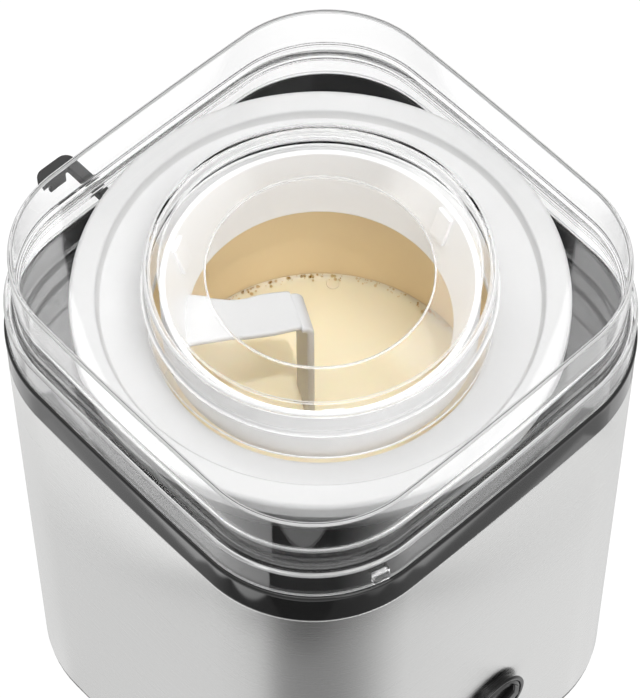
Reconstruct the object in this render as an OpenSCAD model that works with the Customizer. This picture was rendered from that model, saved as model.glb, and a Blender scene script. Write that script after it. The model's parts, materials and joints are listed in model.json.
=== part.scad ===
// Ice cream maker with a lift-out freezer bowl, a clear lid and a geared drive in its base.
// Millimetres, +Z up. The origin is on the table, in the middle of the footprint.

/* [Body] */
// Gap between the bowl's well and the body's flat sides
side_gap = 11; // [10:0.5:20]
// Radius of the body's upright corners
corner_r = 53; // [48:1:58]
// Thickness of the steel sleeve
sleeve_t = 1; // [0.8:0.1:1.4]
// Height of the sleeve's lower edge above the table
foot_gap = 5; // [4.5:0.5:8]
// Height of the black band around the top
band_h = 16; // [12:1:22]
// Wall of the black mouldings
wall = 2.5; // [2:0.25:3]
// Thickness of the deck around the bowl
deck_t = 3; // [2.5:0.25:4]
// Height of the lip that seats a moulding inside the sleeve
lip_h = 8; // [5:1:12]

/* [Bowl] */
// Inner radius of the bowl
mouth_r = 64; // [58:1:70]
// Width of the ring of freezing liquid round the liner
coolant_w = 16; // [12:0.5:20]
// Depth of the bowl's underside below the deck
bowl_drop = 135; // [120:1:150]
// Thickness of the bowl's liner and jacket
bowl_wall = 2; // [1.5:0.25:2.5]
// Depth of the freezing liquid under the liner
coolant_floor = 13; // [8:1:20]
// Height of the rim's top above the deck
rim_top = 18.7; // [17:0.1:20]
// Height of the rim's outer edge
rim_edge_h = 8.7; // [7:0.1:10]
// Width of the rim's flat outer land
rim_land = 10; // [8:0.5:12]
// Height of the bowl's mouth above the deck
mouth_z = 5; // [4:0.5:7]
// Gap between the bowl and its well
well_gap = 5; // [4:0.5:5.5]

/* [Paddle] */
// Gap between the paddle's collar and the bowl's inner wall
collar_gap = 4; // [3:0.25:6]
// Height of the collar's top above the deck
collar_top = 28; // [24:1:30]
// Width of the collar, from its outside to its lower opening
collar_w = 10; // [8:0.5:14]
// Thickness of the paddle's arm and blades
blade_t = 3; // [2.5:0.25:4]
// Width of the arm where it leaves the collar
arm_w = 23; // [18:1:26]
// Width of the arm where it turns down
arm_end_w = 17.5; // [14:0.5:20]
// Height of the blade along the bowl's floor
floor_blade_h = 14; // [10:1:20]
// Height of the scrapers along the bowl's wall
scraper_h = 48; // [30:1:55]
// Width of the scrapers
scraper_w = 9; // [7:0.5:12]

/* [Lid] */
// Height of the lid above the deck
lid_h = 44; // [40:0.5:50]
// Height of the lid's skirt
skirt_h = 15; // [12:0.5:18]
// Distance of the skirt inside the body's sides
skirt_inset = 1; // [0.5:0.25:1.5]
// Distance of the lid's upper wall inside the body's sides
upper_inset = 4.7; // [4.4:0.1:6]
// Wall of the clear lid
lid_t = 1.8; // [1.6:0.1:2.4]
// Height of the lid's plate above the deck
plate_z = 23.5; // [22:0.5:26]
// Gap between the paddle's collar and the lid's tube
tube_gap = 3.2; // [1.5:0.1:4]
// Height of the tube's rim above the deck
tube_top = 37.5; // [36:0.5:40]
// Height of the tube's lower end above the deck
tube_foot = 7; // [6.5:0.5:10]
// Width of the tube's flat rim
tube_rim_w = 5.5; // [4:0.25:6]
// Radius of the fill hole
fill_r = 42; // [36:0.5:44]
// Depth of the fill hole's edge below the tube's rim
fill_drop = 4.5; // [3:0.25:5]

/* [Control] */
// Height of the control's axis above the table
knob_z = 63.5; // [56:0.5:68]
// Radius of the control's bezel
bezel_r = 16.5; // [15:0.5:20]
// Thickness of the bezel outside the sleeve
bezel_t = 3.3; // [2.8:0.1:4]
// Width of the bezel's ring round the knob
bezel_w = 1.8; // [1.5:0.1:3]
// Reach of the knob's grip in front of the sleeve
knob_reach = 6; // [5:0.5:12]
// Width of the knob's grip
grip_w = 6; // [5:0.5:8]
// Turn of the grip from upright at rest
grip_turn = 59; // [0:1:90]
// Radius of the switch shaft
switch_shaft_r = 3; // [2.5:0.25:3.5]

/* [Rear] */
// Reach of the cord hook behind the sleeve
hook_reach = 27; // [22:1:32]
// Length of the cord hook's bar
hook_w = 20; // [16:1:26]
// Depth of the cord hook's bar
hook_bar_d = 7; // [6.5:0.5:9]
// Width of the stem that carries the bar
hook_stem_w = 6; // [5:0.5:8]
// Sideways place of the cord hook
hook_x = -26; // [-35:1:-20]
// Thickness of the cord hook's plate
hook_t = 5; // [4:0.5:6]
// Radius of the hole for the cord
cord_hole_r = 3.6; // [3:0.1:4]

/* [Drive] */
// Module of the gear teeth
tooth_m = 1.25; // [1.1:0.05:1.35]
// Teeth on the output gear
out_teeth = 64; // [56:4:68]
// Teeth on the idler's wheel
wheel_teeth = 48; // [44:4:52]
// Teeth on both pinions
pinion_teeth = 16; // [16:1:18]
// Slack cut from each tooth at the pitch circle
tooth_slack = 0.28; // [0.2:0.02:0.4]
// Radius of the hub's shaft
hub_shaft_r = 5; // [4:0.25:6]
// Radius of the idler's pin
idler_pin_r = 3; // [2.5:0.25:3.5]
// Radius of the hub's drive plate
hub_r = 30; // [26:1:34]
// Corner radius of the six-sided drive head
hex_r = 16; // [13:0.5:18]
// Height of the bowl's underside above the well floor
hub_rise = 8; // [7:0.5:12]
// Width of the output gear's teeth
out_gear_w = 8; // [6:0.5:9]
// Width of the idler wheel's teeth
wheel_w = 6; // [4:0.5:7]
// Radius of the motor
motor_r = 27; // [22:1:28]
// Height of the motor
motor_h = 42; // [34:1:60]
// Height of the motor above the base's floor
motor_gap = 9.4; // [4:0.2:20]
// Radius of the motor's shaft
motor_shaft_r = 3; // [2.5:0.25:3.5]

/* [Fasteners] */
// Radius of the screw threads
screw_r = 1.9; // [1.6:0.1:2.2]
// Radius of the screw heads
screw_head_r = 3.6; // [3:0.1:4]
// Radius of the moulded screw posts
post_r = 6; // [5:0.5:7]
// Depth of the threads in the screw posts
thread_depth = 14; // [10:1:20]
// Radius of the rubber feet
foot_r = 9; // [7:0.5:12]
// Distance of the feet inside the body's sides
foot_edge = 18; // [15:1:30]

/* [Hidden] */
$fn = 96;

// Clearances: fixed pieces, pieces that lift or turn, and running fits
fit = 0.1;
seat = 0.3;
run = 0.05;
cut = 1;            // how far a cut runs past a face

// Radii round the bowl's axis, outwards from the bowl's inner wall
bowl_r = mouth_r + 2 * bowl_wall + coolant_w;
well_r = bowl_r + well_gap;
half = well_r + side_gap;
rim_r = half - upper_inset - lid_t - seat;
collar_r = mouth_r - collar_gap;
collar_mouth_r = collar_r - collar_w;
tube_r = collar_r + tube_gap + lid_t;
axis_y = (knob_reach - hook_reach) / 2;

// Base: a slab under the sleeve, a floor inside it and a foot at each corner
foot_t = foot_gap / 2;
base_inset = 0.8;
base_floor_t = 2;
base_top = foot_gap + base_floor_t;
inside = sleeve_t + fit;
corner_c = half - corner_r;
foot_at = half - foot_r - foot_edge;
foot_peg_r = foot_r / 3;
post_at = (well_r - post_r) / sqrt(2);
screw_head_h = 2;
pilot = 0.2;        // a screw's thread bites this much less than its own radius
vent_w = 3;
vent_step = 9;
vent_l = 60;
vents = 7;

// Gear train: the hub on the axis, the idler behind it and the motor to the side
out_r = tooth_m * out_teeth / 2;
wheel_r = tooth_m * wheel_teeth / 2;
pinion_r = tooth_m * pinion_teeth / 2;
idler_angle = 90;
motor_angle = 225;
idler_d = out_r + pinion_r;
motor_d = wheel_r + pinion_r;
idler_at = idler_d * [cos(idler_angle), sin(idler_angle)];
motor_at = idler_at + motor_d * [cos(motor_angle), sin(motor_angle)];
pressure_angle = 20;
flank_steps = 4;

// Levels of the drive, upwards from the base: motor, gearbox, well floor, bowl and deck
motor_cap_h = 3;
case_t = 2.5;
case_room = 2.6;    // between the gearbox floor and the idler wheel
gear_room = 2;      // between the idler wheel and the output gear
cover_room = 1.5;   // between the output gear and the gearbox cover
cover_t = 3;
floor_t = 3;
motor_z = base_top + motor_gap;
case_z = motor_z + motor_h + motor_cap_h;
case_floor_z = case_z + case_t;
wheel_z = case_floor_z + case_room;
out_gear_z = wheel_z + wheel_w + gear_room;
cover_z = out_gear_z + out_gear_w + cover_room;
well_floor_z = cover_z + cover_t + floor_t;
bowl_z = well_floor_z + hub_rise;
deck_z = bowl_z + bowl_drop;
band_z = deck_z - band_h;
sleeve_h = band_z - foot_gap;

// Well: a tube with a floor, and a flange that hangs on bosses under the deck
flange_t = 3;
flange_r = half - inside - wall - seat;
boss_h = 6;
ear_r = 6.5;
ear_d = flange_r + ear_r / 2;
ear_xy = ear_d / sqrt(2);
deck_under = deck_z - deck_t;
flange_z = deck_under - boss_h - flange_t;

// Gearbox: walls outside the gears, three screwed ears and two bushes for the hub's shaft
case_wall_gap = 3;
case_wall_t = 1.8;
ear_screw_r = screw_head_r + 1.5;
ear_out = case_wall_gap + screw_head_r + 2.4;
ear_places = [
    (out_r + ear_out) * [cos(-40), sin(-40)],
    (out_r + ear_out) * [cos(-140), sin(-140)],
    idler_at + (wheel_r + ear_out) * [cos(15), sin(15)]
];
bush_wall = 3;
bush_flange_t = 0.6;
pin_boss_w = 3;
collar_wall = 4;    // round the hub's shaft, under the output gear

// Motor: it hangs under the gearbox, its shaft up through the gearbox floor
motor_wall = 1;
rotor_r = motor_r * 0.55;
rotor_gap = 0.8;
rotor_end = 7;      // between the rotor and each end of the motor
stator_end = 5;
motor_screw_d = pinion_r + 7;
motor_boss_r = motor_shaft_r + 3;
motor_head_h = 1.5;

// Control: switch behind the sleeve, bezel and knob in front of it
switch_w = 26;
switch_depth = 18;
terminal_x = 8;
terminal_w = 4.8;
terminal_l = 7;
neck_r = switch_shaft_r + 5;
knob_r = bezel_r - bezel_w - seat;
knob_recess = 2;    // depth of the bezel's recess for the knob
knob_back = bezel_t - knob_recess;
knob_disc_t = knob_recess - 0.4;
knob_step = 0.6;
grip_end = 1.4;

// Rear pieces
gland_flange_r = 10;
gland_flange_t = 2;
gland_reach = 16;
gland_neck_r = 6.5;
hook_top = deck_z - 1;
hook_corner = hook_bar_d - 1;
hook_lip_h = 7;
hook_lip_t = 3;
gland_z = base_top + lip_h + gland_flange_r + 1;

// Paddle: the arm runs inwards from the collar and turns down into the blade
arm_angle = 138;
arm_end = [-1.8, 6.6];
blade_angle = 62.5;
scraper_gap = 1;
pivot_r = 8;        // round block where the two floor blades meet
paddle_z = bowl_z + 2 * bowl_wall + coolant_floor + seat;

// Lock tab on the lid's skirt, on the corner left of the control
tab_angle = 254;
tab_w = 6;
tab_h = 4;
tab_z = 4.5;

// A square outline with round corners, `inset` inside the body's own outline
function body_outline(inset, steps = 18) = [
    for (q = [0:3]) for (i = [0:steps])
        let (
            turn = q * 90 + i * 90 / steps,
            sx = (q == 0 || q == 3) ? 1 : -1,
            sy = (q < 2) ? 1 : -1,
            r = corner_r - inset
        )
        [sx * corner_c + r * cos(turn), sy * corner_c + r * sin(turn)]
];

// Angle in degrees that an involute has unrolled at the pressure angle a
function involute(a) = tan(a) * 180 / PI - a;

// Half of a tooth's width, as an angle, at radius r of a gear with n teeth
function half_tooth(n, r) =
    let (
        pitch_r = tooth_m * n / 2,
        base_r = pitch_r * cos(pressure_angle),
        at_pitch = (PI * tooth_m / 2 - tooth_slack) / (2 * pitch_r) * 180 / PI
    )
    at_pitch + involute(pressure_angle) - (r > base_r ? involute(acos(base_r / r)) : 0);

// Outline of a spur gear with n teeth, one tooth centred on the angle phase
function gear_outline(n, phase) =
    let (
        pitch_r = tooth_m * n / 2,
        tip_r = pitch_r + tooth_m,
        root_r = pitch_r - 1.25 * tooth_m,
        flank_r = max(root_r, pitch_r * cos(pressure_angle)),
        radii = concat(
            flank_r > root_r ? [root_r] : [],
            [for (i = [0:flank_steps]) flank_r + (tip_r - flank_r) * i / flank_steps]
        ),
        last = len(radii) - 1
    )
    [for (t = [0:n - 1]) for (side = [-1, 1]) for (i = [0:last])
        let (
            r = radii[side < 0 ? i : last - i],
            turn = phase + 360 * t / n + side * half_tooth(n, r)
        )
        [r * cos(turn), r * sin(turn)]
    ];

// Everything round the bowl's axis is drawn about [0, 0] and set on that axis here
module on_axis(z = 0, at = [0, 0]) {
    translate([at[0], at[1] + axis_y, z]) children();
}

module block(inset, z, h) {
    on_axis(z) linear_extrude(h) polygon(body_outline(inset));
}

module disc(r, z, h, at = [0, 0]) {
    on_axis(z, at) cylinder(r = r, h = h);
}

module ring(r_out, r_in, z, h, at = [0, 0]) {
    difference() {
        disc(r_out, z, h, at);
        disc(r_in, z - cut, h + 2 * cut, at);
    }
}

// A cylinder along Y, from distance y0 to y1 in front of or behind the bowl's axis
module cross_rod(r, y0, y1, z, x = 0) {
    translate([x, axis_y + y1, z]) rotate([90, 0, 0]) cylinder(r = r, h = y1 - y0);
}

module at_corners(d) {
    for (x = [-d, d], y = [-d, d]) translate([x, y, 0]) children();
}

module steel_sleeve() {
    color("lightgray") difference() {
        block(0, foot_gap, sleeve_h);
        block(sleeve_t, foot_gap - cut, sleeve_h + 2 * cut);
        cross_rod(neck_r + fit, -half - cut, -half + sleeve_t + cut, knob_z);
        cross_rod(gland_neck_r + fit, half - sleeve_t - cut, half + cut, gland_z);
    }
}

module top_frame() {
    color([0.09, 0.09, 0.09]) {
        difference() {
            union() {
                block(0, band_z, band_h);
                block(inside, band_z - lip_h, lip_h);
            }
            block(inside + wall, band_z - lip_h - cut, lip_h + cut + band_h - deck_t);
            disc(well_r, deck_under - cut, deck_t + 2 * cut);
        }
        at_corners(ear_xy) ring(ear_r, screw_r - pilot, deck_under - boss_h, boss_h);
    }
}

module bowl_well() {
    color([0.12, 0.12, 0.12]) difference() {
        union() {
            disc(well_r + wall, well_floor_z - floor_t, deck_under - well_floor_z + floor_t);
            disc(flange_r, flange_z, flange_t);
            at_corners(ear_xy) disc(ear_r, flange_z, flange_t);
            at_corners(post_at) disc(post_r, base_top, well_floor_z - 1 - base_top);
        }
        disc(well_r, well_floor_z, deck_z);
        disc(hub_shaft_r + bush_wall + fit, well_floor_z - floor_t - cut, floor_t + 2 * cut);
        at_corners(ear_xy) disc(screw_r + fit, flange_z - cut, flange_t + 2 * cut);
        at_corners(post_at) disc(screw_r - pilot, base_top - cut, thread_depth + cut);
        for (p = ear_places) disc(screw_r - pilot, well_floor_z - floor_t - cut, floor_t, p);
    }
}

module base_plate() {
    rim_h = lip_h;
    color([0.1, 0.1, 0.1]) difference() {
        union() {
            block(base_inset, foot_t, foot_gap - foot_t);
            block(inside, foot_gap, base_floor_t + rim_h);
        }
        block(inside + wall, base_top, rim_h + cut);
        at_corners(foot_at) disc(foot_peg_r + fit, 0, base_top + cut);
        at_corners(post_at) disc(screw_r + fit, 0, base_top + cut);
        at_corners(post_at) disc(screw_head_r + fit, 0, foot_t + screw_head_h);
        for (i = [0:vents - 1])
            translate([(i - (vents - 1) / 2) * vent_step - vent_w / 2, axis_y - vent_l / 2, 0])
                cube([vent_w, vent_l, base_top + cut]);
    }
}

module rubber_feet() {
    color([0.2, 0.2, 0.2]) at_corners(foot_at) {
        disc(foot_r, 0, foot_t);
        disc(foot_peg_r, 0, base_top + 1);
    }
}

// A screw with its head at the bottom, from height z to z + h
module screw_up(z, h, at = [0, 0], r = screw_r - pilot, head_r = screw_head_r) {
    disc(r, z, h, at);
    difference() {
        disc(head_r, z, screw_head_h, at);
        on_axis(z - cut, at) cylinder(r = r, h = 1.2 + cut, $fn = 6);
    }
}

module base_screws() {
    color("silver") at_corners(post_at) screw_up(foot_t, base_top - foot_t + thread_depth - cut);
}

module deck_screws() {
    color("silver") at_corners(ear_xy)
        screw_up(flange_z - screw_head_h, screw_head_h + flange_t + boss_h - 1);
}

module cord_hook() {
    bar_y = hook_reach - hook_bar_d;
    stem_x = hook_w / 2 - hook_stem_w;
    color([0.07, 0.07, 0.07]) translate([hook_x, axis_y + half, hook_top - hook_t]) {
        difference() {
            union() {
                translate([-hook_w / 2, bar_y, 0]) cube([hook_w, hook_bar_d - hook_corner, hook_t]);
                translate([-hook_w / 2 + hook_corner, bar_y, 0])
                    cube([hook_w - 2 * hook_corner, hook_bar_d, hook_t]);
                for (s = [-1, 1])
                    translate([s * (hook_w / 2 - hook_corner), hook_reach - hook_corner, 0])
                        cylinder(r = hook_corner, h = hook_t);
            }
            translate([-hook_w / 2 - cut, bar_y - hook_reach, -cut])
                cube([hook_w + 2 * cut, hook_reach, hook_t + 2 * cut]);
        }
        translate([-hook_w / 2 + hook_corner, hook_reach - hook_lip_t, -hook_lip_h])
            cube([hook_w - 2 * hook_corner, hook_lip_t, hook_lip_h + hook_t]);
        translate([stem_x, 0, 0]) cube([hook_stem_w, bar_y + hook_bar_d - hook_corner, hook_t]);
        translate([stem_x, 0, -hook_lip_h]) cube([hook_stem_w, hook_lip_t, hook_lip_h + hook_t]);
    }
}

module cord_gland() {
    inner_y = half - sleeve_t;
    color([0.08, 0.08, 0.08]) difference() {
        union() {
            cross_rod(gland_neck_r, inner_y - gland_flange_t, half + gland_reach, gland_z);
            cross_rod(gland_flange_r, half, half + gland_flange_t, gland_z);
            cross_rod(gland_flange_r, inner_y - gland_flange_t, inner_y, gland_z);
        }
        cross_rod(cord_hole_r, inner_y - gland_flange_t - cut, half + gland_reach + cut, gland_z);
    }
}

module control_bezel() {
    color([0.06, 0.06, 0.06]) difference() {
        union() {
            cross_rod(bezel_r, -half - bezel_t, -half, knob_z);
            cross_rod(neck_r, -half, -half + sleeve_t, knob_z);
        }
        cross_rod(knob_r + seat, -half - bezel_t - cut, -half - knob_back + seat, knob_z);
        cross_rod(switch_shaft_r + seat, -half - bezel_t, -half + sleeve_t + cut, knob_z);
    }
}

module rotary_switch() {
    back_y = -half + sleeve_t + switch_depth;
    color([0.15, 0.15, 0.17]) difference() {
        union() {
            translate([-switch_w / 2, axis_y - half + sleeve_t, knob_z - switch_w / 2])
                cube([switch_w, switch_depth, switch_w]);
            for (x = [-terminal_x, terminal_x])
                translate([x - terminal_w / 2, axis_y + back_y, knob_z]) cube([terminal_w, terminal_l, 0.8]);
        }
        cross_rod(switch_shaft_r + run, -half, back_y - 3, knob_z);
    }
}

module control_knob() {
    face_y = -half - knob_back - knob_disc_t;
    color([0.05, 0.05, 0.05]) {
        cross_rod(knob_r, face_y, -half - knob_back, knob_z);
        cross_rod(knob_r - 2, face_y - knob_step, face_y, knob_z);
        cross_rod(switch_shaft_r, -half - knob_back, -half + sleeve_t + switch_depth - 4, knob_z);
        translate([0, axis_y - half - knob_reach, knob_z]) rotate([0, grip_turn, 0])
            translate([-grip_w / 2, 0, grip_end - knob_r])
                cube([grip_w, knob_reach - knob_back - knob_disc_t, 2 * (knob_r - grip_end)]);
    }
}

// The gearbox outline, `gap` outside the three gears
module case_block(gap, z, h) {
    disc(out_r + tooth_m + gap, z, h);
    disc(wheel_r + tooth_m + gap, z, h, idler_at);
    disc(motor_screw_d + screw_head_r + gap / 2, z, h, motor_at);
}

module gear_case() {
    color([0.75, 0.75, 0.72]) difference() {
        union() {
            case_block(case_wall_gap, case_z, cover_z - case_z);
            for (p = ear_places) disc(ear_screw_r, case_z, cover_z - case_z, p);
        }
        difference() {
            case_block(case_wall_gap - case_wall_t, case_floor_z, cover_z);
            disc(idler_pin_r + pin_boss_w, case_floor_z - cut, case_room - seat + cut, idler_at);
            for (p = ear_places) disc(ear_screw_r, case_floor_z - cut, cover_z, p);
        }
        disc(hub_shaft_r + bush_wall + fit, case_z - cut, case_t + 2 * cut);
        disc(idler_pin_r, case_z + 1, cover_z, idler_at);
        disc(motor_boss_r + fit, case_z - cut, case_t + 2 * cut, motor_at);
        for (s = [-1, 1])
            disc(screw_r + fit, case_z - cut, case_t + 2 * cut, motor_at + [s * motor_screw_d, 0]);
        for (p = ear_places) disc(screw_r + fit, case_z - cut, cover_z, p);
    }
}

module gear_cover() {
    color([0.7, 0.7, 0.67]) difference() {
        union() {
            case_block(case_wall_gap, cover_z, cover_t);
            for (p = ear_places) disc(ear_screw_r, cover_z, cover_t, p);
        }
        disc(hub_shaft_r + bush_wall + fit, cover_z - cut, cover_t + 2 * cut);
        disc(idler_pin_r, cover_z - cut, cover_t, idler_at);
        for (p = ear_places) disc(screw_r + fit, cover_z - cut, cover_t + 2 * cut, p);
    }
}

module case_screws() {
    color("silver") for (p = ear_places)
        screw_up(case_z - screw_head_h, screw_head_h + cover_z - case_z + cover_t + floor_t - 1.2, p);
}

// A flanged bush round the hub's shaft, from height z to z + h, its flange on top
module bush(z, h) {
    color("darkgoldenrod") difference() {
        union() {
            disc(hub_shaft_r + bush_wall, z, h);
            disc(hub_shaft_r + 2 * bush_wall, z + h, bush_flange_t);
        }
        disc(hub_shaft_r + run, z - cut, h + bush_flange_t + 2 * cut);
    }
}

module hub_bush() { bush(cover_z, cover_t + floor_t); }

module lower_bush() { bush(case_z, case_t); }

module idler_pin() {
    color("silver") disc(idler_pin_r, case_z + 1, cover_z + cover_t - 1 - case_z - 1, idler_at);
}

module motor_can() {
    color("gray") difference() {
        disc(motor_r, motor_z, motor_h, motor_at);
        disc(motor_r - motor_wall, motor_z + motor_wall, motor_h, motor_at);
    }
}

module motor_stator() {
    color("chocolate") ring(
        motor_r - motor_wall - fit, rotor_r + rotor_gap,
        motor_z + stator_end, motor_h - 2 * stator_end, motor_at
    );
}

module motor_end_cap() {
    color([0.2, 0.2, 0.2]) difference() {
        union() {
            disc(motor_r, motor_z + motor_h, motor_cap_h, motor_at);
            disc(motor_boss_r, motor_z + motor_h, motor_cap_h + case_t, motor_at);
        }
        disc(motor_shaft_r + run, motor_z, motor_h + motor_cap_h + case_t + cut, motor_at);
        for (s = [-1, 1])
            disc(screw_r - pilot, motor_z, motor_h + motor_cap_h + cut, motor_at + [s * motor_screw_d, 0]);
    }
}

module motor_screws() {
    color("silver") for (s = [-1, 1]) {
        p = motor_at + [s * motor_screw_d, 0];
        disc(screw_r - pilot, case_z - motor_cap_h, motor_cap_h + case_t + 0.5, p);
        disc(screw_head_r, case_floor_z, motor_head_h, p);
    }
}

module motor_rotor() {
    color("dimgray") {
        disc(rotor_r, motor_z + rotor_end, motor_h - 2 * rotor_end, motor_at);
        disc(motor_shaft_r, motor_z + motor_wall + seat, wheel_z + wheel_w - motor_z - motor_wall, motor_at);
    }
}

module gear(n, z, h, phase, at = [0, 0]) {
    on_axis(z, at) linear_extrude(h) polygon(gear_outline(n, phase));
}

module motor_pinion() {
    color("gold") difference() {
        gear(pinion_teeth, wheel_z - 0.5, wheel_w + 1, motor_angle - 180 + 180 / pinion_teeth, motor_at);
        disc(motor_shaft_r, wheel_z - cut, wheel_w + 2 * cut, motor_at);
    }
}

module idler_gear() {
    color("ivory") difference() {
        union() {
            gear(wheel_teeth, wheel_z, wheel_w, motor_angle, idler_at);
            gear(
                pinion_teeth, wheel_z + wheel_w, cover_z - seat - wheel_z - wheel_w,
                idler_angle + 180 + 180 / pinion_teeth, idler_at
            );
        }
        disc(idler_pin_r + run, wheel_z - cut, cover_z, idler_at);
    }
}

module output_gear() {
    low_z = case_floor_z + bush_flange_t + seat;
    color("ivory") difference() {
        union() {
            gear(out_teeth, out_gear_z, out_gear_w, idler_angle);
            disc(hub_shaft_r + collar_wall, low_z, out_gear_z - low_z + out_gear_w);
        }
        disc(hub_shaft_r, low_z - cut, cover_z);
    }
}

module hub_shaft() {
    color("silver") disc(hub_shaft_r, case_z, well_floor_z + hub_rise / 2 - case_z);
}

module drive_hub() {
    plate_low = well_floor_z + bush_flange_t + seat;
    head_z = well_floor_z + hub_rise / 2;
    color([0.85, 0.85, 0.85]) difference() {
        union() {
            disc(hub_r, plate_low, head_z - plate_low);
            on_axis(plate_low) cylinder(r = hex_r, h = bowl_z - seat - plate_low, $fn = 6);
        }
        disc(hub_shaft_r, plate_low - cut, head_z - plate_low + cut);
    }
}

module bowl_drive_ring() {
    low = well_floor_z + hub_rise / 2 + seat;
    color("whitesmoke") difference() {
        disc(hub_r, low, bowl_z - low);
        on_axis(low - cut) cylinder(r = hex_r + seat, h = hub_rise, $fn = 6);
    }
}

module bowl_jacket() {
    color("whitesmoke") difference() {
        disc(bowl_r, bowl_z, deck_z + rim_top - rim_edge_h - bowl_z - fit);
        disc(bowl_r - bowl_wall, bowl_z + bowl_wall, deck_z);
    }
}

module bowl_liner() {
    liner_z = bowl_z + bowl_wall + coolant_floor;
    color("silver") difference() {
        disc(mouth_r + bowl_wall, liner_z, deck_z - liner_z);
        disc(mouth_r, liner_z + bowl_wall, deck_z);
    }
}

module coolant() {
    low = bowl_z + bowl_wall + fit;
    color("lightblue") difference() {
        disc(bowl_r - bowl_wall - fit, low, deck_z - low - 4);
        disc(mouth_r + bowl_wall + fit, bowl_z + bowl_wall + coolant_floor - fit, deck_z);
    }
}

module bowl_rim() {
    land_in = rim_r - rim_land;
    slope_top = rim_top - 2;
    under = rim_top - rim_edge_h;
    color("white") on_axis(deck_z) rotate_extrude() polygon([
        [mouth_r, fit], [mouth_r, mouth_z - 2], [mouth_r + 2, mouth_z],
        [land_in - 1.5, slope_top], [land_in - 0.5, rim_top - 0.7], [land_in + 0.5, rim_top],
        [rim_r - 1, rim_top], [rim_r - 0.3, rim_top - 0.3], [rim_r, rim_top - 1],
        [rim_r, under], [bowl_r - bowl_wall - fit, under], [bowl_r - bowl_wall - fit, under - 4],
        [bowl_r - 2 * bowl_wall, under - 4], [mouth_r + bowl_wall + fit, mouth_z - bowl_wall - 2],
        [mouth_r + bowl_wall + fit, fit]
    ]);
}

// Half of the paddle's floor blade with its scraper, reaching out along +X
module paddle_wing() {
    reach = mouth_r - scraper_gap;
    translate([0, -blade_t / 2, paddle_z]) {
        cube([reach, blade_t, floor_blade_h]);
        translate([reach - scraper_w, 0, 0]) cube([scraper_w, blade_t, scraper_h]);
    }
}

module paddle() {
    arm_root = collar_mouth_r + 1;
    arm_dir = [cos(arm_angle), sin(arm_angle)];
    arm_side = [-sin(arm_angle), cos(arm_angle)];
    end_side = [cos(blade_angle), sin(blade_angle)];
    color("white") {
        on_axis(deck_z) rotate_extrude() polygon([
            [collar_r, 0], [collar_r, collar_top], [collar_r - 2, collar_top],
            [collar_mouth_r + 1.5, 3], [collar_mouth_r, 1.5], [collar_mouth_r, 0],
            [collar_mouth_r + 2.5, 0], [collar_r - 2, collar_top - 6], [collar_r - 2, 0]
        ]);
        on_axis(deck_z) linear_extrude(blade_t) polygon([
            arm_end + end_side * arm_end_w / 2, arm_end - end_side * arm_end_w / 2,
            arm_root * arm_dir + arm_side * arm_w / 2, arm_root * arm_dir - arm_side * arm_w / 2
        ]);
        on_axis(paddle_z, arm_end) rotate([0, 0, blade_angle])
            translate([-arm_end_w / 2, -blade_t / 2, 0])
                cube([arm_end_w, blade_t, deck_z + blade_t - paddle_z]);
        on_axis() for (turn = [blade_angle, blade_angle + 180]) rotate([0, 0, turn]) paddle_wing();
        on_axis(paddle_z) cylinder(r = pivot_r, h = floor_blade_h);
    }
}

module lid() {
    under_plate = plate_z - skirt_h + lid_t;
    color([0.85, 0.9, 0.93, 0.35]) translate([0, 0, seat]) {
        difference() {
            union() {
                block(skirt_inset, deck_z, skirt_h);
                block(upper_inset, deck_z, lid_h);
            }
            block(skirt_inset + lid_t, deck_z - cut, skirt_h - lid_t + cut);
            block(upper_inset + lid_t, deck_z + skirt_h - lid_t - cut, under_plate + cut);
            block(upper_inset + lid_t, deck_z + plate_z + lid_t, lid_h);
            disc(tube_r - lid_t / 2, deck_z + plate_z - cut, lid_t + 2 * cut);
        }
        on_axis(deck_z) rotate_extrude() polygon([
            [tube_r, tube_foot], [tube_r, tube_top], [tube_r - tube_rim_w, tube_top],
            [fill_r, tube_top - fill_drop + 1], [fill_r, tube_top - fill_drop - 1],
            [tube_r - tube_rim_w, tube_top - 2], [tube_r - lid_t, tube_top - 2], [tube_r - lid_t, tube_foot]
        ]);
        on_axis(deck_z + tab_z, [-corner_c, -corner_c]) rotate([0, 0, tab_angle])
            translate([corner_r - skirt_inset - 1, -tab_w / 2, 0]) cube([2, tab_w, tab_h]);
    }
}

steel_sleeve();
top_frame();
bowl_well();
base_plate();
rubber_feet();
base_screws();
deck_screws();
cord_hook();
cord_gland();
control_bezel();
rotary_switch();
control_knob();
gear_case();
gear_cover();
case_screws();
hub_bush();
lower_bush();
idler_pin();
motor_can();
motor_stator();
motor_end_cap();
motor_screws();
motor_rotor();
motor_pinion();
idler_gear();
output_gear();
hub_shaft();
drive_hub();
bowl_jacket();
bowl_liner();
coolant();
bowl_rim();
bowl_drive_ring();
paddle();
lid();
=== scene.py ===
import json
import math

import bmesh
import bpy
import numpy as np
from mathutils import Matrix, Vector


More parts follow.
